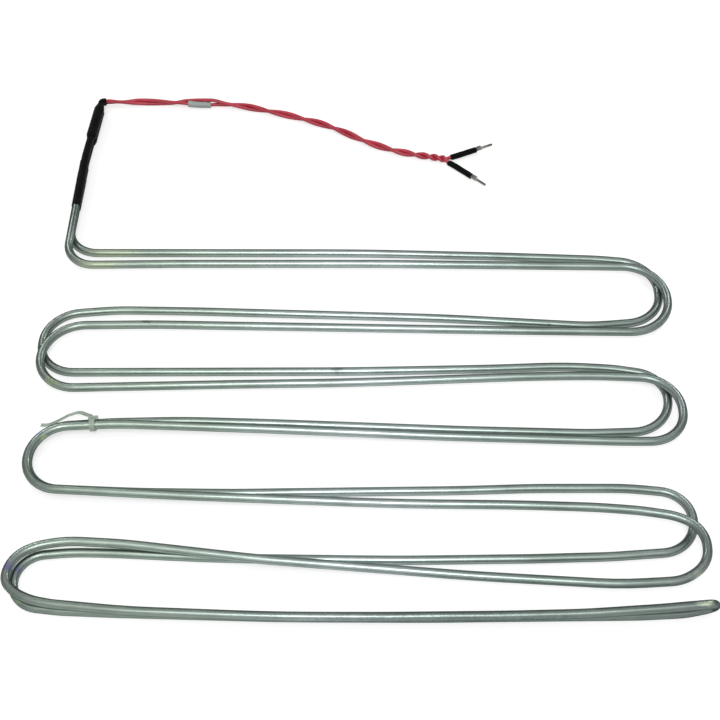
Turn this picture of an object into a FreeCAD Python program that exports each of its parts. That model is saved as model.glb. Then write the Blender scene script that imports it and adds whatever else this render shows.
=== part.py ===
import FreeCAD, Part
import math
import os

# Defrost heating element: one aluminium tube folded double and bent into seven rows,
# with a heating cable inside it, and two red lead wires spliced on under black sleeves.
# Millimetres. X runs along the rows, Y away from the hairpin end, Z up.
# The element lies flat: the lower layer of tube rests on Z = 0 and the upper layer lies on it.
# The origin is at the bottom centre of the element without its free leads.

V = FreeCAD.Vector

# Aluminium tube
TUBE_OD = 6.35
TUBE_WALL = 0.8
LAYER_GAP = 0.25
HAIRPIN_RADIUS = 6.3
HAIRPIN_FLAT = 0.5
TUBE_END_Y = 152.2

# Heating cable inside the tube
CABLE_OD = 4.2
CABLE_BORE = 1.7
CORE_OD = 1.5
CORE_LENGTH = 6.0

# Sleeves over the tube ends and the splices
SLEEVE_WALL = 0.4
SLEEVE_FIT = 0.05
END_SLEEVE_ON_TUBE = {"a": 32.0, "b": 36.5}
END_SLEEVE_BEYOND = 13.0
SLEEVE_LIFT = 0.2
TAIL_SLEEVE_OD = 6.0
TAIL_SLEEVE_FIT = 0.1
TAIL_SLEEVE_LENGTH = 46.8
SPLICE_OVERLAP = {"a": 3.8, "b": 5.8}
SPLICE_SLEEVE_OD = 8.4
SPLICE_SLEEVE_LENGTH = {"a": 43.6, "b": 40.8}
SPLICE_LEAD_IN = 3.0
SPLICE_TAPER = 6.0
NECK_OD = 5.0
NECK_LENGTH = {"a": 6.1, "b": 3.7}
NECK_RADIUS = 3.2
NECK_TIP = 0.4

# Crimped butt splice between the heating cable and a lead wire
BUTT_GAP = 8.0
BUTT_LENGTH = 14.0
BUTT_OD = 4.0
BUTT_BORE = 1.7
BUTT_FIT = 0.15
CRIMP_DEPTH = 0.25
CRIMP_WIDTH = 2.4

# Lead wires
WIRE_OD = 3.0
WIRE_FIT = 0.1
WIRE_SPACING = 4.2
WIRE_STEP = 0.05
CONDUCTOR_OD = 1.5

# Marker sleeve on lead wire b
MARKER_LENGTH = 20.0
MARKER_OD = 5.2
MARKER_BORE = 3.8

# Terminals, all lengths measured along the terminal from the last bend of its wire
TERMINAL_SLEEVE_START = 3.5
TERMINAL_SLEEVE_LENGTH = 21.5
TERMINAL_SLEEVE_OD = 5.0
TERMINAL_FIT = 0.05
WIRE_END = 9.5
BARREL_OD = 3.3
BARREL_BORE = 1.7
CRIMP_START = 18.1
CRIMP_LENGTH = 11.4
CRIMP_OD = 3.1
CRIMP_LOBE_OD = 2.2
CRIMP_LOBE_LENGTH = 3.6
CONE_LENGTH = 2.0
PIN_OD = 2.1
PIN_LENGTH = 8.5
SEAM_WIDTH = 0.3
SEAM_DEPTH = 0.35

# Cable tie round both tubes of row four
TIE_X = -186.7
TIE_LOW_INDEX = 22
TIE_HIGH_INDEX = 18
TIE_WIDTH = 3.6
TIE_TAIL_WIDTH = 2.5
TIE_THICKNESS = 1.3
TIE_FIT = 0.15
TIE_LIFT = 2.0
TIE_HEAD_WIDTH = 6.6
TIE_HEAD_LENGTH = 5.0
TIE_HEAD_HEIGHT = 2.7
TIE_HEAD_PLACE = 0.42

# Heights of the tube's centre line, and of the sleeves beyond it
LOW_Z = TUBE_OD / 2
HIGH_Z = LOW_Z + TUBE_OD + LAYER_GAP
TIP_Z = LOW_Z + 2 * HAIRPIN_RADIUS + HAIRPIN_FLAT
SLEEVE_Z = {"a": SPLICE_SLEEVE_OD / 2, "b": 3 * SPLICE_SLEEVE_OD / 2}

# Places along Y of the sleeves and the splices
TAIL_SLEEVE_TOP_Y = TUBE_END_Y + TAIL_SLEEVE_LENGTH
BUTT_LOW_Y = TAIL_SLEEVE_TOP_Y + BUTT_GAP
SPLICE_SLEEVE_LOW_Y = {end: TAIL_SLEEVE_TOP_Y - SPLICE_OVERLAP[end] for end in "ab"}
SPLICE_SLEEVE_TOP_Y = {end: SPLICE_SLEEVE_LOW_Y[end] + SPLICE_SLEEVE_LENGTH[end] for end in "ab"}

# Corners of the hairpin's tip, and how far back along the rows the last corners before it lie
TIP_X = 235.4
TIP_LOW_Y = -228.2
TIP_HIGH_Y = -232.3
LOW_TIP_RUN = 18.4
HIGH_TIP_RUN = 35.4

# Corners of the lower layer, from its sleeve to the hairpin: x, y, height over the floor
# position of the layer, and the bend radius there
LOWER_CORNERS = [
    (-230.8, 72.9, SLEEVE_LIFT, 23),
    (0.0, 77.8, 0, 2000),
    (110.0, 76.8, 0, 2500),
    (184.0, 75.2, 0, 250),
    (227.8, 71.2, 0, 30),
    (227.8, 14.4, 0, 29),
    (174.0, 7.9, 0, 150),
    (60.0, 13.1, 0, 1500),
    (-120.0, 15.7, 0, 1500),
    (-184.0, 15.6, 0, 200),
    (-236.0, 9.3, 0, 28),
    (-236.0, -45.0, 0, 26),
    (-5.0, -39.1, 0, 2000),
    (105.0, -34.1, 0, 1500),
    (153.0, -30.6, 0, 350),
    (188.0, -32.7, 0, 100),
    (224.2, -38.5, 0, 24),
    (224.2, -87.4, 0, 29.5),
    (165.0, -90.9, 0, 300),
    (75.0, -90.4, 0.3, 1500),
    (-60.0, -88.0, 1.2, 1500),
    (-125.0, -87.6, 1.7, 600),
    (-174.2, -90.2, TIE_LIFT, 200),
    (-230.0, -94.4, 0, 27),
    (-230.0, -145.4, 0, 25),
    (-150.0, -147.5, 0, 1000),
    (-85.0, -146.9, 0, 1000),
    (0.0, -143.7, 0, 2000),
    (75.0, -141.0, 0, 1500),
    (122.0, -138.2, 0, 800),
    (188.0, -136.7, 0, 200),
    (230.4, -140.6, 0, 22),
    (230.4, -185.4, 0, 25.5),
    (172.0, -191.3, 0, 300),
    (120.0, -194.0, 0, 800),
    (30.0, -197.3, 0, 1500),
    (-90.0, -198.3, 0, 1500),
    (-160.0, -195.9, 0, 600),
    (-188.0, -195.9, 0, 150),
    (-224.0, -200.2, 0, 20),
    (-223.6, -236.3, 0, 20),
    (-190.0, -239.7, 0, 100),
    (-155.0, -240.5, 0, 1000),
    (-45.0, -241.3, 0, 1500),
    (50.0, -239.6, 0, 1500),
    (188.0, -234.9, 0, 300),
    (TIP_X - LOW_TIP_RUN, -232.6, 0, 80),
]
# Corners of the upper layer, in the same order and form
UPPER_CORNERS = [
    (-228.8, 54.6, 0, 21),
    (-140.0, 57.7, 0, 1500),
    (15.0, 61.1, 0, 1500),
    (232.4, 62.6, 0, 31.5),
    (232.4, -2.2, 0, 31),
    (120.0, -3.1, 0, 2000),
    (-155.0, -3.2, 0, 600),
    (-233.5, -6.0, 0, 30.7),
    (-233.5, -64.6, 0, 27.5),
    (-90.0, -57.8, 0, 2000),
    (-5.0, -54.4, 0, 2000),
    (125.0, -45.9, 0, 1200),
    (172.0, -44.0, 0, 600),
    (232.2, -45.7, 0, 28),
    (232.2, -100.6, 0, 26),
    (188.0, -102.0, 0.2, 500),
    (60.0, -100.8, 0.8, 1500),
    (-60.0, -97.8, 1.4, 1500),
    (-170.0, -96.0, TIE_LIFT, 250),
    (-228.6, -100.6, TIE_LIFT, 27),
    (-228.6, -149.3, 0, 24),
    (-120.0, -154.1, 0.9, 1500),
    (25.0, -158.4, 2.4, 2000),
    (110.0, -158.5, 3.8, 1500),
    (165.0, -159.8, 4.7, 500),
    (193.0, -162.0, 5.1, 160),
    (216.0, -165.8, 5.6, 45),
    (234.2, -175.2, 6, 21.5),
    (234.2, -201.5, 6, 23),
    (216.5, -215.4, 5.6, 30),
    (175.0, -218.5, 4.8, 250),
    (80.0, -213.4, 2.9, 1500),
    (-62.0, -202.3, 0.2, 800),
    (-153.0, -192.5, 0, 300),
    (-192.0, -190.9, 0, 80),
    (-210.0, -194.9, 0, 40),
    (-227.9, -203.9, 0, 22),
    (-227.9, -222.6, 0, 12),
    (-219.6, -230.9, 0, 25),
    (-208.5, -235.9, 0, 40),
    (-195.0, -238.4, 0, 80),
    (-145.0, -242.4, 0, 500),
    (-50.0, -244.3, 0, 1500),
    (20.0, -243.1, 0.3, 1500),
    (100.0, -241.1, 1.5, 1500),
    (150.0, -239.1, 2.3, 600),
    (TIP_X - HIGH_TIP_RUN, -235.6, 4.7, 400),
]

# Line of the sleeves beyond the tube ends: a slight knee, then the turn of the neck.
# The shifts are along X: from the tube's first bend to the knee, and from there to the neck.
KNEE_SHIFT = {"a": 1.0, "b": 0.2}
KNEE_BEYOND = 19.8
KNEE_RADIUS = 150.0
NECK_SHIFT = {"a": 4.0, "b": 4.5}

# Route of the pair of leads from the necks to the fork: x, y of its middle
PAIR_ROUTE = [
    (-205.2, 248.4),
    (-183.6, 248.5),
    (-143.2, 246.8),
    (-116.1, 247.8),
    (-81.7, 239.2),
    (-52.6, 230.3),
    (-27.0, 220.6),
    (-1.2, 204.4),
    (23.3, 193.6),
    (41.7, 189.0),
    (54.2, 186.9),
    (63.6, 185.0),
]
# How far each wire still is above the floor at the first points of that route
WIRE_DROP = {"a": [0.8, 0.2], "b": [5.6, 2.0, 1.3, 1.0, 0.3]}
# Last bend of each wire, and the direction of its terminal in degrees: turn in plan, and tilt
LAST_BEND = {"a": V(69.4, 185.6, 2.6), "b": V(69.3, 181.5, 2.6)}
TERMINAL_TURN = {"a": 23.3, "b": -41.5}
TERMINAL_TILT = {"a": 2.5, "b": 0.5}
SIDE = {"a": 1, "b": -1}
MARKER_ROUTE_INDEX = 2

# Free end of the cable tie: x, y, z of the middle of the strap
TIE_TAIL = [
    (-188.4, -89.1, 10.8),
    (-198.0, -84.8, 9.8),
    (-205.6, -87.6, 9.2),
    (-213.5, -93.2, 9.0),
    (-218.6, -96.1, 9.0),
    (-223.8, -96.6, 9.4),
]
TIE_TAIL_RADIUS = 7.0
TIE_STRAP_UP = V(0, 0.79, 0.61)

CORD_SHARE = 0.45


def rounded_wire(corners):
    """A path of straight runs joined by tangent arcs. Each corner is a point and a bend radius."""
    edges = []
    last = corners[0][0]
    for i in range(1, len(corners) - 1):
        here, radius = corners[i]
        back = (corners[i - 1][0] - here).normalize()
        ahead = (corners[i + 1][0] - here).normalize()
        half_turn = (math.pi - back.getAngle(ahead)) / 2
        reach = radius * math.tan(half_turn)
        start = here + back * reach
        end = here + ahead * reach
        inward = (back + ahead).normalize()
        middle = here + inward * (radius / math.cos(half_turn) - radius)
        edges.append(Part.LineSegment(last, start).toShape())
        edges.append(Part.Arc(start, middle, end).toShape())
        last = end
    edges.append(Part.LineSegment(last, corners[-1][0]).toShape())
    return Part.Wire(edges)


def cord_corners(points):
    """Gives each point of a free wire the largest bend that its two runs allow."""
    corners = [(points[0], 0)]
    for before, here, after in zip(points, points[1:], points[2:]):
        run = min((here - before).Length, (after - here).Length)
        half_turn = (math.pi - (before - here).getAngle(after - here)) / 2
        corners.append((here, CORD_SHARE * run / math.tan(half_turn)))
    corners.append((points[-1], 0))
    return corners


def ring_face(centre, axis, outer, inner=0.0):
    face = Part.Face(Part.Wire(Part.makeCircle(outer / 2, centre, axis)))
    if inner:
        face = face.cut(Part.Face(Part.Wire(Part.makeCircle(inner / 2, centre, axis))))
    return face.Faces[0]


def pipe(corners, outer, inner=0.0):
    """A round bar or tube of the given diameters along a rounded path."""
    axis = corners[1][0] - corners[0][0]
    solid = rounded_wire(corners).makePipe(ring_face(corners[0][0], axis, outer, inner))
    return solid if solid.ShapeType == "Solid" else solid.Solids[0]


def turned(start, direction, profile):
    """A solid turned about a line. The profile is a closed list of distance and radius."""
    points = [V(radius, 0, distance) for distance, radius in profile]
    face = Part.Face(Part.makePolygon(points + points[:1]))
    solid = face.revolve(V(0, 0, 0), V(0, 0, 1), 360)
    solid.Placement = FreeCAD.Placement(start, FreeCAD.Rotation(V(0, 0, 1), direction))
    return solid


def rod(start, direction, length, diameter):
    return Part.makeCylinder(diameter / 2, length, start, direction)


def at_y(start, end, y):
    """The point of a line that has this y."""
    return start + (end - start) * ((y - start.y) / (end.y - start.y))


def layer(corners, base):
    return [(V(x, y, base + lift), radius) for x, y, lift, radius in corners]


LAYERS = {"a": layer(LOWER_CORNERS, LOW_Z), "b": layer(UPPER_CORNERS, HIGH_Z)}
TIP = [(V(TIP_X, TIP_HIGH_Y, TIP_Z), HAIRPIN_RADIUS), (V(TIP_X, TIP_LOW_Y, LOW_Z), HAIRPIN_RADIUS)]
FIRST_CORNER = {end: LAYERS[end][0][0] for end in "ab"}
KNEE = {
    end: V(FIRST_CORNER[end].x + KNEE_SHIFT[end], TUBE_END_Y + KNEE_BEYOND, SLEEVE_Z[end])
    for end in "ab"
}
NECK_CORNER = {
    end: V(KNEE[end].x + NECK_SHIFT[end], SPLICE_SLEEVE_TOP_Y[end] + NECK_LENGTH[end], KNEE[end].z)
    for end in "ab"
}
TUBE_END = {end: at_y(FIRST_CORNER[end], KNEE[end], TUBE_END_Y) for end in "ab"}


def bent_length():
    """All bends of the tube, from the bend beside sleeve b to the bend beside sleeve a."""
    return LAYERS["b"] + TIP + LAYERS["a"][::-1]


def element_tube():
    corners = [(TUBE_END["b"], 0)] + bent_length() + [(TUBE_END["a"], 0)]
    return pipe(corners, TUBE_OD, TUBE_OD - 2 * TUBE_WALL)


def inner_line(y):
    """The line of what lies inside the tube, which ends beyond it at this y in both sleeves."""
    ends = {end: (at_y(KNEE[end], NECK_CORNER[end], y), 0) for end in "ab"}
    knees = {end: (KNEE[end], KNEE_RADIUS) for end in "ab"}
    return [ends["b"], knees["b"]] + bent_length() + [knees["a"], ends["a"]]


def heating_insulation():
    return pipe(inner_line(BUTT_LOW_Y - WIRE_FIT), CABLE_OD, CABLE_BORE)


def resistance_core():
    return pipe(inner_line(BUTT_LOW_Y + CORE_LENGTH - WIRE_FIT), CORE_OD)


def end_sleeve(end):
    """Shrunk over the tube's end, and a little tighter over the tail sleeve beyond it."""
    axis = KNEE[end] - FIRST_CORNER[end]
    on_tube = END_SLEEVE_ON_TUBE[end]
    start = at_y(FIRST_CORNER[end], KNEE[end], TUBE_END_Y - on_tube)
    length = on_tube + END_SLEEVE_BEYOND
    bore = TUBE_OD / 2 + SLEEVE_FIT
    tight = TAIL_SLEEVE_OD / 2 + SLEEVE_FIT
    lip = SLEEVE_WALL / 2
    profile = [
        (0, bore),
        (on_tube + lip, bore),
        (on_tube + 2 * lip, tight),
        (length, tight),
        (length, tight + lip),
        (length - lip, tight + SLEEVE_WALL),
        (on_tube + 4 * lip, tight + SLEEVE_WALL),
        (on_tube, bore + SLEEVE_WALL),
        (lip, bore + SLEEVE_WALL),
        (0, bore + lip),
    ]
    return turned(start, axis, profile)


def tail_sleeve(end):
    """Sleeve on the heating cable between the tube's mouth and the splice sleeve."""
    start = at_y(FIRST_CORNER[end], KNEE[end], TUBE_END_Y + TAIL_SLEEVE_FIT)
    stop = at_y(KNEE[end], NECK_CORNER[end], TAIL_SLEEVE_TOP_Y)
    corners = [(start, 0), (KNEE[end], KNEE_RADIUS), (stop, 0)]
    return pipe(corners, TAIL_SLEEVE_OD, CABLE_OD + 2 * TAIL_SLEEVE_FIT)


def neck_mouth(end, tip):
    """The point on the way to the lead's route that lies this far past the neck's turn."""
    corner = NECK_CORNER[end]
    way = (pair_points(end)[0] - corner).normalize()
    return corner + way * (NECK_RADIUS + tip)


def neck_corners(end, from_y, tip):
    """The centre line round the neck, from a y on the splice to a distance past the turn."""
    corner = NECK_CORNER[end]
    start = at_y(KNEE[end], corner, from_y)
    return [(start, 0), (corner, NECK_RADIUS), (neck_mouth(end, tip), 0)]


def splice_sleeve(end):
    """Wide sleeve over the splice, drawn in at its end to a neck that turns to the lead wire."""
    axis = NECK_CORNER[end] - KNEE[end]
    start = at_y(KNEE[end], NECK_CORNER[end], SPLICE_SLEEVE_LOW_Y[end])
    length = SPLICE_SLEEVE_LENGTH[end]
    wide = SPLICE_SLEEVE_OD / 2
    mouth = TAIL_SLEEVE_OD / 2 + SLEEVE_FIT
    profile = [
        (0, 0),
        (0, mouth + SLEEVE_WALL),
        (SPLICE_LEAD_IN, wide),
        (length - SPLICE_TAPER, wide),
        (length, NECK_OD / 2),
        (length, 0),
    ]
    neck = pipe(neck_corners(end, SPLICE_SLEEVE_TOP_Y[end] - 1, NECK_TIP), NECK_OD)
    body = turned(start, axis, profile).fuse(neck)
    tail_depth = TAIL_SLEEVE_TOP_Y - SPLICE_SLEEVE_LOW_Y[end] + TAIL_SLEEVE_FIT
    tail_hole = rod(start - axis * 1e-3, axis, tail_depth, 2 * mouth)
    butt_depth = BUTT_LOW_Y + BUTT_LENGTH + WIRE_FIT - SPLICE_SLEEVE_LOW_Y[end]
    butt_hole = rod(start, axis, butt_depth, max(CABLE_OD, BUTT_OD) + 2 * BUTT_FIT)
    wire_hole = pipe(neck_corners(end, BUTT_LOW_Y + BUTT_LENGTH - 1, NECK_TIP + 1), WIRE_OD + 2 * WIRE_FIT)
    return body.cut(tail_hole).cut(butt_hole).cut(wire_hole).removeSplitter().Solids[0]


def butt_splice(end):
    """Crimp barrel with a bore at each end, a stop between them and a crimped groove on each."""
    axis = (NECK_CORNER[end] - KNEE[end]).normalize()
    start = at_y(KNEE[end], NECK_CORNER[end], BUTT_LOW_Y)
    radius = BUTT_OD / 2
    profile = [(0, BUTT_BORE / 2), (0, radius)]
    for place in (0.25, 0.75):
        middle = BUTT_LENGTH * place
        profile += [
            (middle - CRIMP_WIDTH / 2, radius),
            (middle - CRIMP_WIDTH / 4, radius - CRIMP_DEPTH),
            (middle + CRIMP_WIDTH / 4, radius - CRIMP_DEPTH),
            (middle + CRIMP_WIDTH / 2, radius),
        ]
    depth = CORE_LENGTH + WIRE_FIT
    profile += [
        (BUTT_LENGTH, radius),
        (BUTT_LENGTH, BUTT_BORE / 2),
        (BUTT_LENGTH - depth, BUTT_BORE / 2),
        (BUTT_LENGTH - depth, 0),
        (depth, 0),
        (depth, BUTT_BORE / 2),
    ]
    return turned(start, axis, profile)


def terminal_axis(end):
    turn = math.radians(TERMINAL_TURN[end])
    tilt = math.radians(TERMINAL_TILT[end])
    return V(math.cos(turn) * math.cos(tilt), math.sin(turn) * math.cos(tilt), math.sin(tilt))


def along_terminal(end, distance):
    return LAST_BEND[end] + terminal_axis(end) * distance


def pair_points(end):
    """The pair's route, moved aside by half the spacing of the wires, at this wire's heights."""
    middle = [V(x, y, WIRE_OD / 2 + WIRE_STEP) for x, y in PAIR_ROUTE]
    points = []
    for i, point in enumerate(middle):
        ahead = middle[min(i + 1, len(middle) - 1)] - middle[max(i - 1, 0)]
        aside = V(-ahead.y, ahead.x, 0).normalize()
        drop = WIRE_DROP[end][i] if i < len(WIRE_DROP[end]) else 0
        points.append(point + aside * (SIDE[end] * WIRE_SPACING / 2) + V(0, 0, drop))
    return points


def lead_points(end):
    return [neck_mouth(end, NECK_TIP)] + pair_points(end) + [LAST_BEND[end], along_terminal(end, WIRE_END)]


def lead_wire(end):
    """Red lead wire: out of the splice, round the neck, and along its free route to its terminal."""
    inside = neck_corners(end, BUTT_LOW_Y + BUTT_LENGTH + WIRE_FIT, NECK_TIP)[:2]
    corners = inside + cord_corners(lead_points(end))[1:]
    wire = pipe(corners, WIRE_OD)
    axis = NECK_CORNER[end] - KNEE[end]
    joint = rod(corners[0][0], -axis, CORE_LENGTH - WIRE_FIT, CONDUCTOR_OD)
    tail = rod(corners[-1][0], terminal_axis(end), CORE_LENGTH, CONDUCTOR_OD)
    return wire.fuse([joint, tail]).removeSplitter().Solids[0]


def wire_marker():
    """Short marker tube on lead wire b."""
    points = lead_points("b")
    before, here, after = points[MARKER_ROUTE_INDEX: MARKER_ROUTE_INDEX + 3]
    radius = cord_corners([before, here, after])[1][1]
    along = (after - before).normalize()
    inward = ((before - here).normalize() + (after - here).normalize()).normalize()
    half_turn = (math.pi - (before - here).getAngle(after - here)) / 2
    middle = here + inward * (radius / math.cos(half_turn) - radius)
    start = middle - along * (MARKER_LENGTH / 2)
    outside = rod(start, along, MARKER_LENGTH, MARKER_OD)
    return outside.cut(rod(start, along, MARKER_LENGTH, MARKER_BORE)).Solids[0]


def terminal_sleeve(end):
    """Shrunk over the wire's end and the barrel of the terminal, with both rims drawn in."""
    bore = max(WIRE_OD, BARREL_OD) / 2 + TERMINAL_FIT
    outer = TERMINAL_SLEEVE_OD / 2
    rim = (outer - bore) / 2
    length = TERMINAL_SLEEVE_LENGTH
    profile = [
        (0, bore),
        (length, bore),
        (length, outer - rim),
        (length - rim, outer),
        (rim, outer),
        (0, outer - rim),
    ]
    return turned(along_terminal(end, TERMINAL_SLEEVE_START), terminal_axis(end), profile)


def pin_terminal(end):
    """Pin terminal rolled from sheet: a barrel on the conductor, a crimp with two lobes, a pin."""
    axis = terminal_axis(end)
    low = WIRE_END + WIRE_FIT
    pin_end = CRIMP_START + CRIMP_LENGTH + CONE_LENGTH + PIN_LENGTH
    tip = PIN_OD / 2
    profile = [
        (low, BARREL_BORE / 2),
        (low, BARREL_OD / 2),
        (CRIMP_START, BARREL_OD / 2),
        (CRIMP_START, CRIMP_OD / 2),
        (CRIMP_START + CRIMP_LENGTH, CRIMP_OD / 2),
        (CRIMP_START + CRIMP_LENGTH + CONE_LENGTH, tip),
        (pin_end - tip, tip),
        (pin_end - tip * 0.62, tip * 0.92),
        (pin_end - tip * 0.29, tip * 0.71),
        (pin_end - tip * 0.08, tip * 0.38),
        (pin_end, 0),
        (low + CORE_LENGTH, 0),
        (low + CORE_LENGTH, BARREL_BORE / 2),
    ]
    body = turned(LAST_BEND[end], axis, profile)
    aside = V(-axis.y, axis.x, 0).normalize()
    up = axis.cross(aside)
    lobe_start = CRIMP_START + CRIMP_LENGTH - CRIMP_LOBE_LENGTH
    for sign in (-1, 1):
        offset = aside * (sign * CRIMP_LOBE_OD / 2 * 0.9) + up * (CRIMP_LOBE_OD / 2 * 0.7)
        body = body.fuse(rod(along_terminal(end, lobe_start) + offset, axis, CRIMP_LOBE_LENGTH, CRIMP_LOBE_OD))
    seam = Part.makeBox(PIN_LENGTH + CONE_LENGTH, SEAM_WIDTH, PIN_OD)
    seam.translate(V(CRIMP_START + CRIMP_LENGTH, -SEAM_WIDTH / 2, PIN_OD / 2 - SEAM_DEPTH))
    frame = FreeCAD.Matrix(
        axis.x, aside.x, up.x, LAST_BEND[end].x,
        axis.y, aside.y, up.y, LAST_BEND[end].y,
        axis.z, aside.z, up.z, LAST_BEND[end].z,
    )
    seam.Placement = FreeCAD.Placement(frame).multiply(seam.Placement)
    return body.cut(seam).removeSplitter().Solids[0]


def hull_wire(first, second, across, radius):
    """The outline of a band drawn tight round two tubes. The last vector is square to their line."""
    along = (second - first).normalize()
    out = across * radius
    corner = [first + out, second + out, second - out, first - out]
    edges = [
        Part.LineSegment(corner[0], corner[1]).toShape(),
        Part.Arc(corner[1], second + along * radius, corner[2]).toShape(),
        Part.LineSegment(corner[2], corner[3]).toShape(),
        Part.Arc(corner[3], first - along * radius, corner[0]).toShape(),
    ]
    return Part.Wire(edges)


def tie_frame():
    """Centres of both tubes where the tie holds them, and the tie's three directions."""
    start, end = [point for point, radius in LAYERS["b"][TIE_HIGH_INDEX: TIE_HIGH_INDEX + 2]]
    axis = V(start.x - end.x, start.y - end.y, 0).normalize()
    high = end + (start - end) * ((TIE_X - end.x) / (start.x - end.x))
    start, end = [point for point, radius in LAYERS["a"][TIE_LOW_INDEX: TIE_LOW_INDEX + 2]]
    low = end + (start - end) * ((high - end).dot(axis) / (start - end).dot(axis))
    along = (high - low).normalize()
    return low, high, axis, along, axis.cross(along)


def cable_tie():
    """Moulded tie: the band round both tubes, its head, and the long free end of the strap."""
    low, high, axis, along, back = tie_frame()
    inner = TUBE_OD / 2 + TIE_FIT
    outside = Part.Face(hull_wire(low, high, back, inner + TIE_THICKNESS))
    inside = Part.Face(hull_wire(low, high, back, inner))
    band = outside.cut(inside).extrude(axis * TIE_WIDTH)
    band.translate(axis * (-TIE_WIDTH / 2))
    out = back * -1
    base = low + along * ((high - low).Length * TIE_HEAD_PLACE) + out * inner
    head = Part.makeBox(TIE_HEAD_WIDTH, TIE_HEAD_LENGTH, TIE_HEAD_HEIGHT)
    head.translate(V(-TIE_HEAD_WIDTH / 2, -TIE_HEAD_LENGTH / 2, 0))
    frame = FreeCAD.Matrix(
        axis.x, -along.x, out.x, base.x,
        axis.y, -along.y, out.y, base.y,
        axis.z, -along.z, out.z, base.z,
    )
    head.Placement = FreeCAD.Placement(frame).multiply(head.Placement)
    points = [V(*point) for point in TIE_TAIL]
    corners = [(point, TIE_TAIL_RADIUS) for point in points]
    path = rounded_wire(corners)
    ahead = (points[1] - points[0]).normalize()
    wide = TIE_STRAP_UP.normalize()
    wide = (wide - ahead * wide.dot(ahead)).normalize()
    thick = ahead.cross(wide)
    start = points[0]
    section = Part.makePolygon([
        start + wide * (a * TIE_TAIL_WIDTH / 2) + thick * (b * TIE_THICKNESS / 2)
        for a, b in ((1, 1), (1, -1), (-1, -1), (-1, 1), (1, 1))
    ])
    sweep = Part.BRepOffsetAPI.MakePipeShell(path)
    sweep.setBiNormalMode(TIE_STRAP_UP)
    sweep.add(section)
    sweep.build()
    sweep.makeSolid()
    tail = sweep.shape()
    return band.fuse([head, tail]).removeSplitter().Solids[0]


def main():
    pieces = {
        "element_tube": element_tube(),
        "heating_insulation": heating_insulation(),
        "resistance_core": resistance_core(),
        "wire_marker": wire_marker(),
        "cable_tie": cable_tie(),
    }
    for end in "ab":
        pieces["end_sleeve_" + end] = end_sleeve(end)
        pieces["tail_sleeve_" + end] = tail_sleeve(end)
        pieces["splice_sleeve_" + end] = splice_sleeve(end)
        pieces["butt_splice_" + end] = butt_splice(end)
        pieces["lead_wire_" + end] = lead_wire(end)
        pieces["terminal_sleeve_" + end] = terminal_sleeve(end)
        pieces["pin_terminal_" + end] = pin_terminal(end)
        corners = cord_corners(lead_points(end))
        length = rounded_wire(corners).Length
        print("lead", end, "free length %.1f" % length)
        print("  bend radii", [round(radius, 1) for point, radius in corners[1:-1]])
    os.makedirs("parts", exist_ok=True)
    for name, shape in pieces.items():
        shape.exportStep("parts/" + name + ".step")
        print("%-20s %s %.1f mm3 valid %s" % (name, shape.ShapeType, shape.Volume, shape.isValid()))


main()
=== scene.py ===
import math

import bpy
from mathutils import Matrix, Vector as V
from mathutils import noise

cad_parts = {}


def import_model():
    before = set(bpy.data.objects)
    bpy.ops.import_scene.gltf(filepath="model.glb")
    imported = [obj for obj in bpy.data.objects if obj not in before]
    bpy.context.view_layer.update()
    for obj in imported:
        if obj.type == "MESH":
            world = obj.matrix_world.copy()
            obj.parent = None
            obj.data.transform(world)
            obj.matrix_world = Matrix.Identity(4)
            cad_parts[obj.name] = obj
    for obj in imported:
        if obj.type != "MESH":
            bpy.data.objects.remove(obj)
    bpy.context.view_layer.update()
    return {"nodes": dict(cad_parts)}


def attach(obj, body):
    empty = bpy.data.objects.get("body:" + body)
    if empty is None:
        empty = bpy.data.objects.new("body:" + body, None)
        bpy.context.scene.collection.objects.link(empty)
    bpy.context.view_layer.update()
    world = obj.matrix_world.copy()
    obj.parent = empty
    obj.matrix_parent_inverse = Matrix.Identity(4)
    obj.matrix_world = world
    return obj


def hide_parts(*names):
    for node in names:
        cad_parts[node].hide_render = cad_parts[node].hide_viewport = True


# Defrost heating element, laid flat. Metres, same frame as the solids:
# X along the rows, Y away from the hairpin, Z up.

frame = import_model()

# Camera

CAMERA_PLACE = V((0.01542, -0.69051, 0.851))
CAMERA_TILT = math.radians(38)
CAMERA_TURN = math.radians(1.26)
CAMERA_LENS = 72.85
CAMERA_SENSOR = 36

camera = bpy.data.objects.new("camera", bpy.data.cameras.new("camera"))
camera.location = CAMERA_PLACE
camera.rotation_euler = (CAMERA_TILT, 0, CAMERA_TURN)
camera.data.lens = CAMERA_LENS
camera.data.sensor_width = CAMERA_SENSOR
bpy.context.scene.collection.objects.link(camera)
bpy.context.scene.camera = camera


# Meshes

def add_piece(name, verts, faces, material, replaced):
    """A smooth closed mesh that is shown in place of one solid."""
    mesh = bpy.data.meshes.new(name)
    mesh.from_pydata([tuple(v) for v in verts], [], faces)
    mesh.polygons.foreach_set("use_smooth", [True] * len(mesh.polygons))
    mesh.materials.append(material)
    obj = bpy.data.objects.new(name, mesh)
    bpy.context.scene.collection.objects.link(obj)
    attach(obj, "root")
    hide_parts(replaced)
    return obj


def lengths_along(points):
    """The length of the line up to each of its points."""
    total = [0.0]
    for a, b in zip(points, points[1:]):
        total.append(total[-1] + (b - a).length)
    return total


def directions(points):
    """Unit tangents at each point of a line."""
    last = len(points) - 1
    return [
        (points[min(i + 1, last)] - points[max(i - 1, 0)]).normalized()
        for i in range(len(points))
    ]


def carried_frames(points):
    """Two directions square to the line at each of its points, turned as little as possible."""
    side = V((0, 0, -1))
    frames = []
    for tangent in directions(points):
        side = (side - tangent * side.dot(tangent)).normalized()
        frames.append((side, tangent.cross(side)))
    return frames


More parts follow.
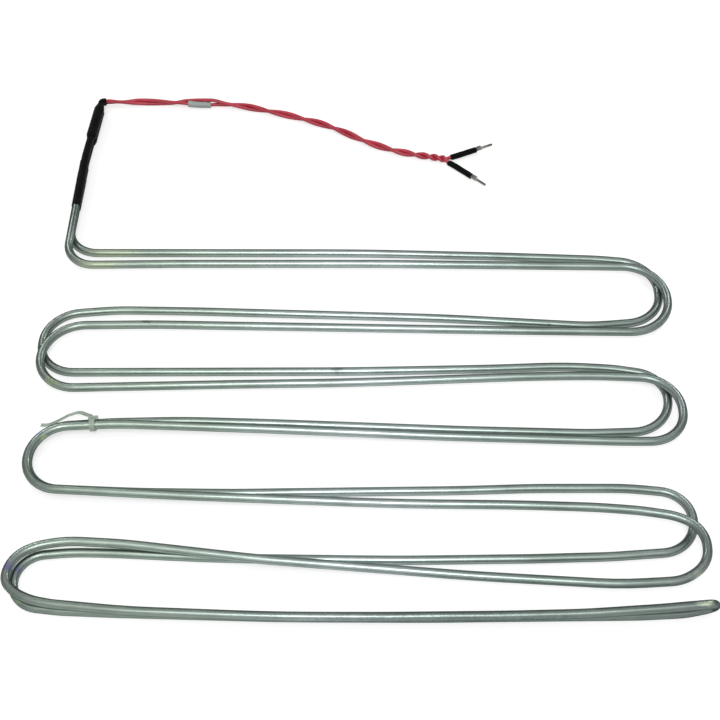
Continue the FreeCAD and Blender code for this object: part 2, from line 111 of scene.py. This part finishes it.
def sweep(name, points, radius, sides, material, replaced):
    """A round bar along a line. The radius is a number or a function of index and angle."""
    size = radius if callable(radius) else lambda i, angle: radius
    verts = []
    for i, (point, (u, w)) in enumerate(zip(points, carried_frames(points))):
        for k in range(sides):
            angle = 2 * math.pi * k / sides
            verts.append(point + (u * math.cos(angle) + w * math.sin(angle)) * size(i, angle))
    faces = []
    for i in range(len(points) - 1):
        for k in range(sides):
            n = (k + 1) % sides
            faces.append((i * sides + k, (i + 1) * sides + k, (i + 1) * sides + n, i * sides + n))
    last = (len(points) - 1) * sides
    faces.append(tuple(range(sides)))
    faces.append(tuple(last + k for k in reversed(range(sides))))
    return add_piece(name, verts, faces, material, replaced)


# Materials

def new_material(name):
    """A material with its nodes, links, shader and the place on the object."""
    mat = bpy.data.materials.new(name)
    mat.use_nodes = True
    nodes = mat.node_tree.nodes
    place = nodes.new("ShaderNodeTexCoord").outputs["Object"]
    return mat, nodes, mat.node_tree.links, nodes["Principled BSDF"], place


def add_node(nodes, kind, **values):
    """A node with some of its properties or inputs set."""
    node = nodes.new(kind)
    for key, value in values.items():
        if hasattr(node, key):
            setattr(node, key, value)
        else:
            node.inputs[key.replace("_", " ")].default_value = value
    return node


def ramp(nodes, links, source, stops):
    """Colours or greys by a value: pairs of place and colour."""
    node = nodes.new("ShaderNodeValToRGB")
    while len(node.color_ramp.elements) < len(stops):
        node.color_ramp.elements.new(0.5)
    for element, (place, value) in zip(node.color_ramp.elements, stops):
        element.position = place
        colour = value if hasattr(value, "__len__") else (value, value, value)
        element.color = (*colour, 1)
    links.new(source, node.inputs["Fac"])
    return node.outputs["Color"]


def mixed(nodes, links, factor, a, b, blend="MIX"):
    """Two colours mixed. Each input is a socket, a colour or a number."""
    node = nodes.new("ShaderNodeMix")
    node.data_type = "RGBA"
    node.blend_type = blend
    for socket, value in ((node.inputs[0], factor), (node.inputs[6], a), (node.inputs[7], b)):
        if hasattr(value, "is_output"):
            links.new(value, socket)
        elif hasattr(value, "__len__"):
            socket.default_value = (*value, 1)
        else:
            socket.default_value = value
    return node.outputs[2]


def multiplied(nodes, links, a, b):
    """One colour times another."""
    return mixed(nodes, links, 1.0, a, b, "MULTIPLY")


def noise_at(nodes, links, place, **values):
    """Noise by place, about one half."""
    node = add_node(nodes, "ShaderNodeTexNoise", **values)
    links.new(place, node.inputs["Vector"])
    return node.outputs["Fac"]


def share_between(nodes, links, value, low, high, **values):
    """Zero at low, one at high."""
    node = add_node(nodes, "ShaderNodeMapRange", From_Min=low, From_Max=high, **values)
    links.new(value, node.inputs["Value"])
    return node.outputs["Result"]


def bump(nodes, links, shader, height, strength, distance):
    """Fine relief on the surface by a height."""
    node = add_node(nodes, "ShaderNodeBump", Strength=strength, Distance=distance)
    links.new(height, node.inputs["Height"])
    links.new(node.outputs["Normal"], shader.inputs["Normal"])


CLOUD_SCALE = 100.0
GRAIN_SCALE = 1600.0
GRAIN_DEPTH = 0.00004
GLOSS_SPREAD = 0.06


def plain_material(name, colour, roughness, metallic=0.0, spots=0.12):
    """A surface with slight cloudiness in colour, and a fine grain in gloss and height."""
    mat, nodes, links, shader, place = new_material(name)
    cloud = noise_at(nodes, links, place, Scale=CLOUD_SCALE, Detail=4.0)
    grain = noise_at(nodes, links, place, Scale=GRAIN_SCALE, Detail=3.0)
    dark = [c * (1 - spots) for c in colour]
    light = [c * (1 + spots) for c in colour]
    tone = ramp(nodes, links, cloud, [(0.35, dark), (0.65, light)])
    links.new(tone, shader.inputs["Base Color"])
    gloss = [(0.3, roughness - GLOSS_SPREAD), (0.7, roughness + GLOSS_SPREAD)]
    links.new(ramp(nodes, links, grain, gloss), shader.inputs["Roughness"])
    shader.inputs["Metallic"].default_value = metallic
    bump(nodes, links, shader, grain, 0.5, GRAIN_DEPTH)
    return mat


# Tone of the tube by its place along the rows: x, colour. It is partly the tube's own tone and
# partly painted shade: lighter in the middle, darker towards the right end and in the bends,
# where less light fell.
TUBE_TONES_AND_PAINTED_SHADE = [
    (-0.230, (0.200, 0.240, 0.216)),
    (-0.190, (0.285, 0.350, 0.300)),
    (-0.100, (0.305, 0.370, 0.330)),
    (0.000, (0.388, 0.456, 0.448)),
    (0.130, (0.250, 0.308, 0.278)),
    (0.200, (0.232, 0.282, 0.258)),
    (0.235, (0.205, 0.240, 0.233)),
]
TONE_REACH = 0.24
# How much darker the tube is in row 7 and beside the end sleeves: y, share of the colour
TUBE_ROW_TONES = [
    (-0.2330, 0.79), (-0.2240, 1.0), (0.0720, 1.0), (0.1000, 0.66), (0.1500, 0.62),
]
ROW_TONE_REACH = 0.26
# The bends begin and end here, measured along X from the middle
BEND_FROM, BEND_TO = 0.208, 0.226
# Drawing lines are fine across the tube and long along it
LINES_ACROSS, LINES_ALONG = 700, 22
LINES_DEPTH = 0.00003
# Marks and tints on the tube, with painted highlights and painted shade among them: place,
# radius, how much longer it is along the row, tint. Besides dark smudges, bright spots and purple
# tints, there are painted highlights on several bends, at the left end of row 1 and on the
# hairpin tip, and painted shade under the hairpin tip.
TUBE_MARKS_AND_PAINTED_LIGHT = [
    ((0.1407, -0.0945, 0.0110), 0.0045, 1, (2.2, 2.2, 2.2)),
    ((-0.1590, -0.0024, 0.0125), 0.0030, 2, (0.45, 0.45, 0.48)),
    ((-0.1556, 0.0530, 0.0080), 0.0026, 2, (0.50, 0.50, 0.50)),
    ((-0.0150, -0.0394, 0.0050), 0.0045, 1.5, (0.58, 0.58, 0.60)),
    ((0.0534, -0.2420, 0.0080), 0.0055, 1, (0.60, 0.61, 0.61)),
    ((0.1420, 0.0058, 0.0060), 0.0026, 1, (0.35, 0.35, 0.35)),
    ((0.0550, -0.2420, 0.0080), 0.0120, 12, (0.66, 0.68, 0.67)),
    ((-0.2287, 0.0021, 0.0110), 0.0060, 1, (0.92, 0.76, 1.35)),
    ((-0.2234, -0.1054, 0.0130), 0.0050, 1, (0.88, 0.74, 1.45)),
    # painted highlight on the left bend of rows 4 and 5
    ((-0.2190, -0.1096, 0.0130), 0.0036, 1, (1.55, 1.60, 1.05)),
    ((-0.2267, -0.2123, 0.0130), 0.0050, 1, (0.88, 0.76, 1.45)),
    ((-0.2220, -0.2112, 0.0050), 0.0045, 1, (0.92, 0.80, 1.40)),
    ((0.2354, 0.0620, 0.0110), 0.0075, 1, (1.00, 0.86, 1.22)),
    # painted highlight on the right bend of rows 1 and 2
    ((0.2310, 0.0060, 0.0110), 0.0060, 1, (1.55, 1.50, 1.15)),
    ((-0.2202, -0.0585, 0.0110), 0.0060, 2, (1.35, 1.38, 1.00)),
    # painted highlights on the lower left bend, the right bend of row 6 and the hairpin tip, then
    # painted shade under the hairpin tip
    ((-0.2167, -0.2334, 0.0050), 0.0050, 2, (1.45, 1.50, 1.25)),
    ((0.2240, -0.2105, 0.0150), 0.0050, 1.5, (1.50, 1.50, 1.15)),
    ((0.2275, -0.2335, 0.0185), 0.0030, 3, (2.4, 2.4, 1.9)),
    ((0.2150, -0.2330, 0.0010), 0.0050, 4, (0.45, 0.45, 0.45)),
    # painted highlights at the left end of row 1
    ((-0.1960, 0.0700, 0.0080), 0.0110, 3, (1.22, 1.15, 0.99)),
    ((-0.2060, 0.0545, 0.0110), 0.0085, 3, (1.26, 1.18, 1.00)),
]


def near_place(nodes, links, place, centre, radius, longer, wander):
    """One within a ragged spot about a place, falling to zero at its edge."""
    shift = add_node(nodes, "ShaderNodeMapping", vector_type="POINT")
    shift.inputs["Location"].default_value = (-centre[0] / longer, -centre[1], -centre[2])
    shift.inputs["Scale"].default_value = (1 / longer, 1, 1)
    links.new(place, shift.inputs["Vector"])
    apart = add_node(nodes, "ShaderNodeVectorMath", operation="LENGTH")
    links.new(shift.outputs["Vector"], apart.inputs[0])
    ragged = add_node(nodes, "ShaderNodeMath", operation="MULTIPLY_ADD")
    ragged.inputs[1].default_value = radius
    links.new(wander, ragged.inputs[0])
    links.new(apart.outputs["Value"], ragged.inputs[2])
    return share_between(
        nodes, links, ragged.outputs[0], 0.7 * radius, 1.5 * radius,
        interpolation_type="SMOOTHSTEP", To_Min=1, To_Max=0,
    )


def tone_by_place(nodes, links, coordinate, reach, tones):
    """Colours by one coordinate, which runs from -reach to reach."""
    share = share_between(nodes, links, coordinate, -reach, reach)
    stops = [((at + reach) / (2 * reach), tone) for at, tone in tones]
    return ramp(nodes, links, share, stops)


def drawing_lines(nodes, links, place, x):
    """Fine lines along the tube: along X in the rows and along Y in the bends."""
    lines = []
    for scale in (
        (LINES_ALONG, LINES_ACROSS, LINES_ACROSS),
        (LINES_ACROSS, LINES_ALONG, LINES_ACROSS),
    ):
        stretch = add_node(nodes, "ShaderNodeMapping")
        stretch.inputs["Scale"].default_value = scale
        links.new(place, stretch.inputs["Vector"])
        lines.append(noise_at(
            nodes, links, stretch.outputs["Vector"], Scale=1.0, Detail=4.0, Roughness=0.6,
        ))
    side = add_node(nodes, "ShaderNodeMath", operation="ABSOLUTE")
    links.new(x, side.inputs[0])
    in_bend = share_between(
        nodes, links, side.outputs[0], BEND_FROM, BEND_TO, interpolation_type="SMOOTHSTEP",
    )
    return mixed(nodes, links, in_bend, *lines)


def tube_material():
    """Drawn aluminium gone dull: its tone changes along the rows and darkens in the bends,
    partly as painted shade, with fine drawing lines, clouds of oxide and a few marks,
    among which are painted highlights and painted shade."""
    mat, nodes, links, shader, place = new_material("tube_aluminium")
    parts = nodes.new("ShaderNodeSeparateXYZ")
    links.new(place, parts.inputs[0])
    # Tone along the rows and across them, partly painted shade
    base = multiplied(
        nodes, links,
        tone_by_place(nodes, links, parts.outputs["X"], TONE_REACH, TUBE_TONES_AND_PAINTED_SHADE),
        tone_by_place(nodes, links, parts.outputs["Y"], ROW_TONE_REACH, TUBE_ROW_TONES),
    )

    cloud = noise_at(nodes, links, place, Scale=35.0, Detail=5.0, Roughness=0.62)
    cloud_tone = ramp(nodes, links, cloud, [
        (0.32, (0.86, 0.87, 0.86)),
        (0.5, (1.0, 1.0, 1.0)),
        (0.68, (1.12, 1.10, 1.12)),
    ])
    base = multiplied(nodes, links, base, cloud_tone)
    drawn = drawing_lines(nodes, links, place, parts.outputs["X"])
    line_tone = ramp(nodes, links, drawn, [(0.36, 0.88), (0.64, 1.06)])
    base = multiplied(nodes, links, base, line_tone)

    wander = noise_at(nodes, links, place, Scale=420.0, Detail=3.0)
    # Marks and tints, with painted highlights and painted shade among them
    for centre, radius, longer, tone in TUBE_MARKS_AND_PAINTED_LIGHT:
        share = near_place(nodes, links, place, centre, radius, longer, wander)
        tint = mixed(nodes, links, share, (1, 1, 1), tone)
        base = multiplied(nodes, links, base, tint)
    links.new(base, shader.inputs["Base Color"])
    rough = ramp(nodes, links, drawn, [(0.3, 0.32), (0.7, 0.38)])
    links.new(rough, shader.inputs["Roughness"])
    shader.inputs["Metallic"].default_value = 1.0
    shader.inputs["Specular Tint"].default_value = (0.16, 0.19, 0.18, 1)
    bump(nodes, links, shader, drawn, 0.15, LINES_DEPTH)
    return mat


def lead_material():
    """Red insulation with a soft gloss, slightly dulled."""
    mat, nodes, links, shader, place = new_material("lead_insulation")
    cloud = noise_at(nodes, links, place, Scale=120.0, Detail=4.0)
    colour = ramp(nodes, links, cloud, [
        (0.35, (0.370, 0.017, 0.036)),
        (0.65, (0.475, 0.031, 0.058)),
    ])
    links.new(colour, shader.inputs["Base Color"])
    rough = ramp(nodes, links, cloud, [(0.3, 0.34), (0.7, 0.46)])
    links.new(rough, shader.inputs["Roughness"])
    grain = noise_at(nodes, links, place, Scale=1800.0, Detail=2.0)
    bump(nodes, links, shader, grain, 0.3, 0.00002)
    return mat


def tie_material():
    """Natural nylon, slightly translucent."""
    mat, nodes, links, shader, place = new_material("tie_nylon")
    cloud = noise_at(nodes, links, place, Scale=260.0, Detail=3.0)
    colour = ramp(nodes, links, cloud, [
        (0.3, (0.300, 0.365, 0.300)),
        (0.7, (0.375, 0.450, 0.375)),
    ])
    links.new(colour, shader.inputs["Base Color"])
    rough = ramp(nodes, links, cloud, [(0.3, 0.34), (0.7, 0.44)])
    links.new(rough, shader.inputs["Roughness"])
    shader.inputs["Subsurface Weight"].default_value = 0.35
    shader.inputs["Subsurface Radius"].default_value = (0.002, 0.002, 0.002)
    shader.inputs["Subsurface Scale"].default_value = 1.0
    bump(nodes, links, shader, cloud, 0.2, 0.00005)
    return mat


TUBE = tube_material()
LEAD = lead_material()
TIE = tie_material()
SLEEVE = plain_material("shrink_sleeve", (0.004, 0.005, 0.004), 0.5, spots=0.3)
SLEEVE_SHADER = SLEEVE.node_tree.nodes["Principled BSDF"]
SLEEVE_SHADER.inputs["Specular IOR Level"].default_value = 0.04
MARKER = plain_material("marker_plastic", (0.30, 0.33, 0.31), 0.45, spots=0.06)
PIN = plain_material("pin_metal", (0.21, 0.21, 0.195), 0.28, metallic=1.0, spots=0.3)
CABLE = plain_material("cable_insulation", (0.55, 0.53, 0.47), 0.55)
CORE = plain_material("core_alloy", (0.42, 0.40, 0.37), 0.4, metallic=1.0)
BRASS = plain_material("splice_brass", (0.60, 0.43, 0.18), 0.35, metallic=1.0)


# Leads

WIRE_RADIUS = 0.0015
WIRE_SIDES = 14
SIDE = {"a": 1, "b": -1}
# Middle of the pair from the splices to the fork, on the floor
PAIR_ROUTE = [
    (-0.2052, 0.2484),
    (-0.1836, 0.2485),
    (-0.1432, 0.2468),
    (-0.1161, 0.2478),
    (-0.0817, 0.2392),
    (-0.0526, 0.2303),
    (-0.0270, 0.2206),
    (-0.0012, 0.2044),
    (0.0233, 0.1936),
    (0.0417, 0.1890),
    (0.0542, 0.1869),
    (0.0636, 0.1850),
]
WIRE_SPACING = 0.0042
WIRE_HEIGHT = 0.00155
# How much higher the first points of each wire lie, where it comes down from its neck
WIRE_DROP = {"a": [0.0008, 0.0002], "b": [0.0056, 0.0020, 0.0013, 0.0010, 0.0003]}
# Where each splice sleeve's neck turns, and how far beyond that the wire begins
NECK = {"a": V((-0.2258, 0.2449, 0.0042)), "b": V((-0.2241, 0.2377, 0.0126))}
NECK_REACH = 0.0036
# Where each wire leaves the pair, then the turn and tilt of its straight end
LAST_BEND = {"a": V((0.0694, 0.1856, 0.0026)), "b": V((0.0693, 0.1815, 0.0026))}
TERMINAL_TURN = {"a": 23.3, "b": -41.5}
TERMINAL_TILT = {"a": 2.5, "b": 0.5}
WIRE_END = 0.0095
# Each terminal sleeve: from this x, to this far beyond the bend, with its radius
TERMINAL_SLEEVE_FROM = {"a": 0.0712, "b": 0.0692}
TERMINAL_SLEEVE_TO = 0.025
TERMINAL_SLEEVE_RADIUS = 0.00242
TERMINAL_SLEEVE_SIDES = 20
SLEEVE_STEP = 0.001
# The sleeve is drawn in at its two ends over these lengths, and its wall wavers
SLEEVE_RIM = (0.0015, 0.0005)
SLEEVE_RIM_DEPTH = 0.00018
SLEEVE_WAVER = 0.00013
SLEEVE_WAVES = 260
# Where the strands cross, seen from the camera, from the splices to the fork: x
CROSSINGS = [
    -0.2215, -0.2074, -0.1629, -0.1152, -0.0831, -0.0523, -0.0264,
    -0.0013, 0.0229, 0.0419, 0.0538, 0.0613, 0.0682,
]
TWIST_RADIUS = 0.00148
TWIST_HEIGHT = 0.0031
# The wires run into the twist over the first stretch and out of it over the second: x
TWIST_IN = (-0.2200, -0.1980)
TWIST_OUT = (0.0645, 0.0712)
# The marker holds the pair off the floor and apart, easing in and out over these: x
MARKER_LIFT = 0.0015
MARKER_SPREAD = 0.00058
MARKER_IN = (-0.168, -0.154)
MARKER_OUT = (-0.1315, -0.1190)
MARKER_X = (-0.1524, -0.1327)
MARKER_RADIUS = 0.0026
MARKER_SIDES = 24
SPLINE_STEPS = 30


def terminal_axis(end):
    """The direction of a wire's straight end, with its sleeve and pin."""
    turn = math.radians(TERMINAL_TURN[end])
    tilt = math.radians(TERMINAL_TILT[end])
    return V((math.cos(turn) * math.cos(tilt), math.sin(turn) * math.cos(tilt), math.sin(tilt)))


def own_route(end):
    """The points of one lead's route, as its solid has them, from the neck to the wire's end."""
    middle = [V((x, y, WIRE_HEIGHT)) for x, y in PAIR_ROUTE]
    points = []
    for i, point in enumerate(middle):
        ahead = middle[min(i + 1, len(middle) - 1)] - middle[max(i - 1, 0)]
        aside = V((-ahead.y, ahead.x, 0)).normalized()
        drop = WIRE_DROP[end][i] if i < len(WIRE_DROP[end]) else 0
        points.append(point + aside * (SIDE[end] * WIRE_SPACING / 2) + V((0, 0, drop)))
    start = NECK[end] + (points[0] - NECK[end]).normalized() * NECK_REACH
    bend = LAST_BEND[end]
    return [start] + points + [bend, bend + terminal_axis(end) * WIRE_END]


def spline_points(points):
    """The points of a smooth NURBS line that has these as its control points."""
    curve = bpy.data.curves.new("route", "CURVE")
    curve.dimensions = "3D"
    spline = curve.splines.new("NURBS")
    spline.points.add(len(points) - 1)
    for control, point in zip(spline.points, points):
        control.co = (*point, 1)
    spline.order_u = 3
    spline.use_endpoint_u = True
    spline.resolution_u = SPLINE_STEPS
    obj = bpy.data.objects.new("route", curve)
    mesh = bpy.data.meshes.new_from_object(obj)
    line = [v.co.copy() for v in mesh.vertices]
    bpy.data.meshes.remove(mesh)
    bpy.data.objects.remove(obj)
    bpy.data.curves.remove(curve)
    return line


def eased(x, start, end):
    """Zero up to start, one from end, smooth between."""
    t = min(1, max(0, (x - start) / (end - start)))
    return t * t * (3 - 2 * t)


def twist_angle(x):
    """Half turns of the pair at x, smooth through the crossings."""
    knots = CROSSINGS
    last = len(knots) - 1
    if x <= knots[0]:
        return (x - knots[0]) / (knots[1] - knots[0])
    if x >= knots[last]:
        return last + (x - knots[last]) / (knots[last] - knots[last - 1])
    rate = [1 / (b - a) for a, b in zip(knots, knots[1:])]
    slope = [rate[0]] + [2 * p * q / (p + q) for p, q in zip(rate, rate[1:])] + [rate[-1]]
    i = max(k for k in range(last) if knots[k] <= x)
    h = knots[i + 1] - knots[i]
    t = (x - knots[i]) / h
    return (
        i + (3 - 2 * t) * t * t
        + h * slope[i] * t * (1 - t) * (1 - t)
        - h * slope[i + 1] * t * t * (1 - t)
    )


def twisted_pair():
    """The two lines of the wires, each twisted about the middle of the pair."""
    own = {end: spline_points(own_route(end)) for end in "ab"}
    middle = [(a + b) / 2 for a, b in zip(own["a"], own["b"])]
    strands = {"a": [], "b": []}
    for i, (point, ahead) in enumerate(zip(middle, directions(middle))):
        x = point.x
        by_marker = eased(x, *MARKER_IN) * (1 - eased(x, *MARKER_OUT))
        centre = V((x, point.y, TWIST_HEIGHT + MARKER_LIFT * by_marker))
        along = V((ahead.x, ahead.y, 0)).normalized()
        to_camera = CAMERA_PLACE - centre
        to_camera = (to_camera - along * to_camera.dot(along)).normalized()
        image_up = along.cross(to_camera)
        if image_up.z < 0:
            image_up = -image_up
        angle = -math.pi * twist_angle(x)
        radius = TWIST_RADIUS + MARKER_SPREAD * by_marker
        offset = (to_camera * math.cos(angle) + image_up * math.sin(angle)) * radius
        share = eased(x, *TWIST_IN) * (1 - eased(x, *TWIST_OUT))
        strands["b"].append(own["b"][i].lerp(centre + offset, share))
        strands["a"].append(own["a"][i].lerp(centre - offset, share))
    return strands


def terminal_sleeve(end):
    """Shrunk over the wire's last bend and the crimp, slightly uneven as such sleeves are."""
    line = [p for p in strands[end] if p.x > TERMINAL_SLEEVE_FROM[end]]
    axis = terminal_axis(end)
    steps = int((TERMINAL_SLEEVE_TO - WIRE_END) / SLEEVE_STEP)
    reaches = [WIRE_END + step * SLEEVE_STEP for step in range(1, steps + 1)]
    line += [LAST_BEND[end] + axis * reach for reach in reaches + [TERMINAL_SLEEVE_TO]]
    at = lengths_along(line)
    total = at[-1]

    def radius(i, angle):
        rim = min(1, at[i] / SLEEVE_RIM[0], (total - at[i]) / SLEEVE_RIM[1])
        place = V((at[i] * SLEEVE_WAVES, math.cos(angle), math.sin(angle) + 3 * SIDE[end]))
        drawn_in = SLEEVE_RIM_DEPTH * (1 - max(0, rim))
        return TERMINAL_SLEEVE_RADIUS - drawn_in + SLEEVE_WAVER * noise.noise(place)

    return sweep(
        "terminal_cover_" + end, line, radius, TERMINAL_SLEEVE_SIDES, SLEEVE,
        replaced="terminal_sleeve_" + end,
    )


strands = twisted_pair()
leads = {
    end: sweep(
        "lead_" + end, strands[end], WIRE_RADIUS, WIRE_SIDES, LEAD,
        replaced="lead_wire_" + end,
    )
    for end in "ab"
}
marker_line = [p for p in strands["b"] if MARKER_X[0] <= p.x <= MARKER_X[1]]
marker = sweep(
    "marker_on_lead", marker_line, MARKER_RADIUS, MARKER_SIDES, MARKER,
    replaced="wire_marker",
)
carried = {
    end: [terminal_sleeve(end), frame["nodes"]["pin_terminal_" + end]]
    for end in "ab"
}
carried["b"].append(marker)


# Solids that stay

SOLID_MATERIALS = {
    "element_tube": TUBE,
    "heating_insulation": CABLE,
    "resistance_core": CORE,
    "cable_tie": TIE,
}
for end in "ab":
    SOLID_MATERIALS["end_sleeve_" + end] = SLEEVE
    SOLID_MATERIALS["tail_sleeve_" + end] = SLEEVE
    SOLID_MATERIALS["splice_sleeve_" + end] = SLEEVE
    SOLID_MATERIALS["butt_splice_" + end] = BRASS
    SOLID_MATERIALS["pin_terminal_" + end] = PIN

for node, material in SOLID_MATERIALS.items():
    data = frame["nodes"][node].data
    data.materials.clear()
    data.materials.append(material)


# Floor, light

FLOOR_HALF_SIDE = 6
FLOOR_TONE = 0.5
FLOOR_GLOW = 0.62
# Strength of the world as plain light, and to the camera and in mirrors
WORLD_LIGHT = 0.72
WORLD_SEEN = 1.0
# As light it is brightest this way, above the camera, and dimmest square to it and beyond
BRIGHT_WAY = (0, -0.5, 0.866)
BRIGHTEST, DIMMEST = 1.2, 0.25
# Lights, all aimed at the middle: name, place, size, power
LIGHTS = [
    ("key", (-0.02, -0.9, 1.7), (0.45, 0.5), 11),
    ("left_side", (-0.85, 1, 0.95), (0.25, 0.4), 4),
    ("right_side", (0.85, 1, 0.95), (0.25, 0.4), 4),
]


def combined(nodes, links, operation, a, b):
    """The result of one operation on two sockets."""
    node = add_node(nodes, "ShaderNodeMath", operation=operation)
    links.new(a, node.inputs[0])
    links.new(b, node.inputs[1])
    return node.outputs[0]


def see_through_rays(nodes, links):
    """One for a ray from the camera or one that a glossy or clear surface sends, else zero."""
    path = nodes.new("ShaderNodeLightPath").outputs
    seen = combined(nodes, links, "MAXIMUM", path["Is Camera Ray"], path["Is Glossy Ray"])
    return combined(nodes, links, "MAXIMUM", seen, path["Is Transmission Ray"])


def floor():
    """A pale floor that keeps the object's shadow and looks white."""
    mat = bpy.data.materials.new("floor")
    mat.use_nodes = True
    nodes, links = mat.node_tree.nodes, mat.node_tree.links
    nodes.clear()
    out = nodes.new("ShaderNodeOutputMaterial")
    tone = (FLOOR_TONE, FLOOR_TONE, FLOOR_TONE, 1)
    diffuse = add_node(nodes, "ShaderNodeBsdfDiffuse", Color=tone)
    glow = add_node(nodes, "ShaderNodeEmission", Color=(1, 1, 1, 1))
    strength = add_node(nodes, "ShaderNodeMath", operation="MULTIPLY")
    strength.inputs[1].default_value = FLOOR_GLOW
    links.new(see_through_rays(nodes, links), strength.inputs[0])
    links.new(strength.outputs[0], glow.inputs["Strength"])
    both = nodes.new("ShaderNodeAddShader")
    links.new(diffuse.outputs[0], both.inputs[0])
    links.new(glow.outputs[0], both.inputs[1])
    links.new(both.outputs[0], out.inputs["Surface"])
    mesh = bpy.data.meshes.new("floor")
    corners = [
        (x * FLOOR_HALF_SIDE, y * FLOOR_HALF_SIDE, 0)
        for x, y in ((-1, -1), (1, -1), (1, 1), (-1, 1))
    ]
    mesh.from_pydata(corners, [], [(0, 1, 2, 3)])
    mesh.materials.append(mat)
    obj = bpy.data.objects.new("floor", mesh)
    bpy.context.scene.collection.objects.link(obj)


def area_light(name, place, size, power):
    """A rectangular light aimed at the middle of the floor."""
    data = bpy.data.lights.new(name, "AREA")
    data.shape = "RECTANGLE"
    data.size, data.size_y = size
    data.energy = power
    obj = bpy.data.objects.new(name, data)
    obj.location = place
    obj.rotation_euler = (-V(place)).to_track_quat("-Z", "Y").to_euler()
    bpy.context.scene.collection.objects.link(obj)


def world():
    """White all round to the camera. As light it is softer towards the far side."""
    space = bpy.data.worlds.new("world")
    space.use_nodes = True
    bpy.context.scene.world = space
    nodes, links = space.node_tree.nodes, space.node_tree.links
    nodes.clear()
    out = nodes.new("ShaderNodeOutputWorld")
    back = add_node(nodes, "ShaderNodeBackground", Color=(1, 1, 1, 1))
    strength = add_node(nodes, "ShaderNodeMapRange", To_Min=WORLD_LIGHT, To_Max=WORLD_SEEN)
    links.new(see_through_rays(nodes, links), strength.inputs["Value"])
    facing = add_node(nodes, "ShaderNodeVectorMath", operation="DOT_PRODUCT")
    facing.inputs[1].default_value = BRIGHT_WAY
    links.new(nodes.new("ShaderNodeTexCoord").outputs["Generated"], facing.inputs[0])
    fall = add_node(nodes, "ShaderNodeMapRange", To_Min=DIMMEST, To_Max=BRIGHTEST)
    links.new(facing.outputs["Value"], fall.inputs["Value"])
    from_camera = nodes.new("ShaderNodeLightPath").outputs["Is Camera Ray"]
    white = combined(nodes, links, "MAXIMUM", fall.outputs["Result"], from_camera)
    total = combined(nodes, links, "MULTIPLY", strength.outputs["Result"], white)
    links.new(total, back.inputs["Strength"])
    links.new(back.outputs[0], out.inputs["Surface"])


floor()
world()
for light in LIGHTS:
    area_light(*light)

bpy.context.scene.view_settings.view_transform = "Standard"
